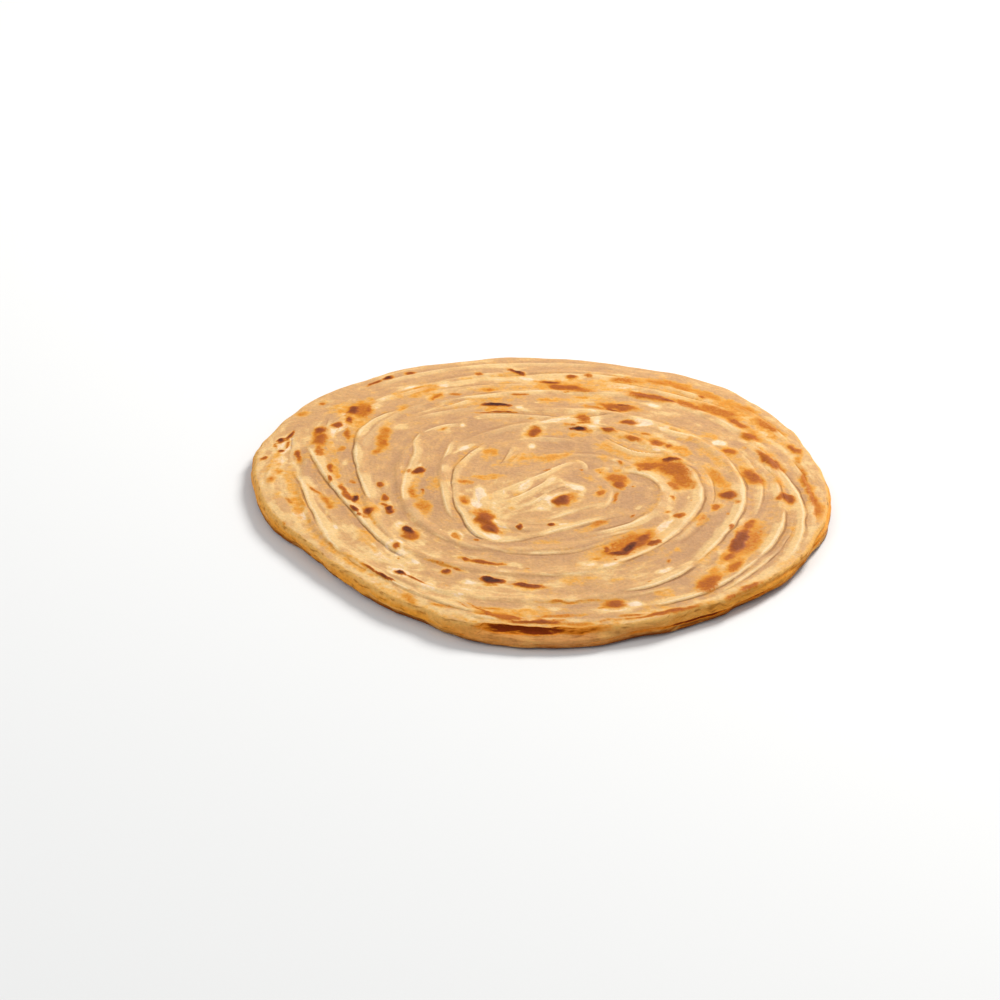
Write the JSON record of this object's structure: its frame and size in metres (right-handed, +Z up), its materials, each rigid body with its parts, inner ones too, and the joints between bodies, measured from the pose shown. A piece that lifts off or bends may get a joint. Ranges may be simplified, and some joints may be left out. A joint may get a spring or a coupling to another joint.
{
  "type": "wheat parotta",
  "caption": "Round flaky wheat flatbread, flattened from a coil of pleated dough, with raised spiral lips, browned spots, a layered rim and a flat underside to rest on.",
  "frame": {"origin": "middle of the bread's box in plan, on the surface it lies on", "axes": "+Z up out of the face that shows, +Y away from the viewer of the picture, +X to their right"},
  "size_m": [0.1766, 0.1796, 0.0069],
  "materials": {
    "crust": "soft wheat dough, pan-browned in spots, with a thin sheen of oil"
  },
  "bodies": {
    "root": {"parotta": "crust"}
  },
  "joints": []
}
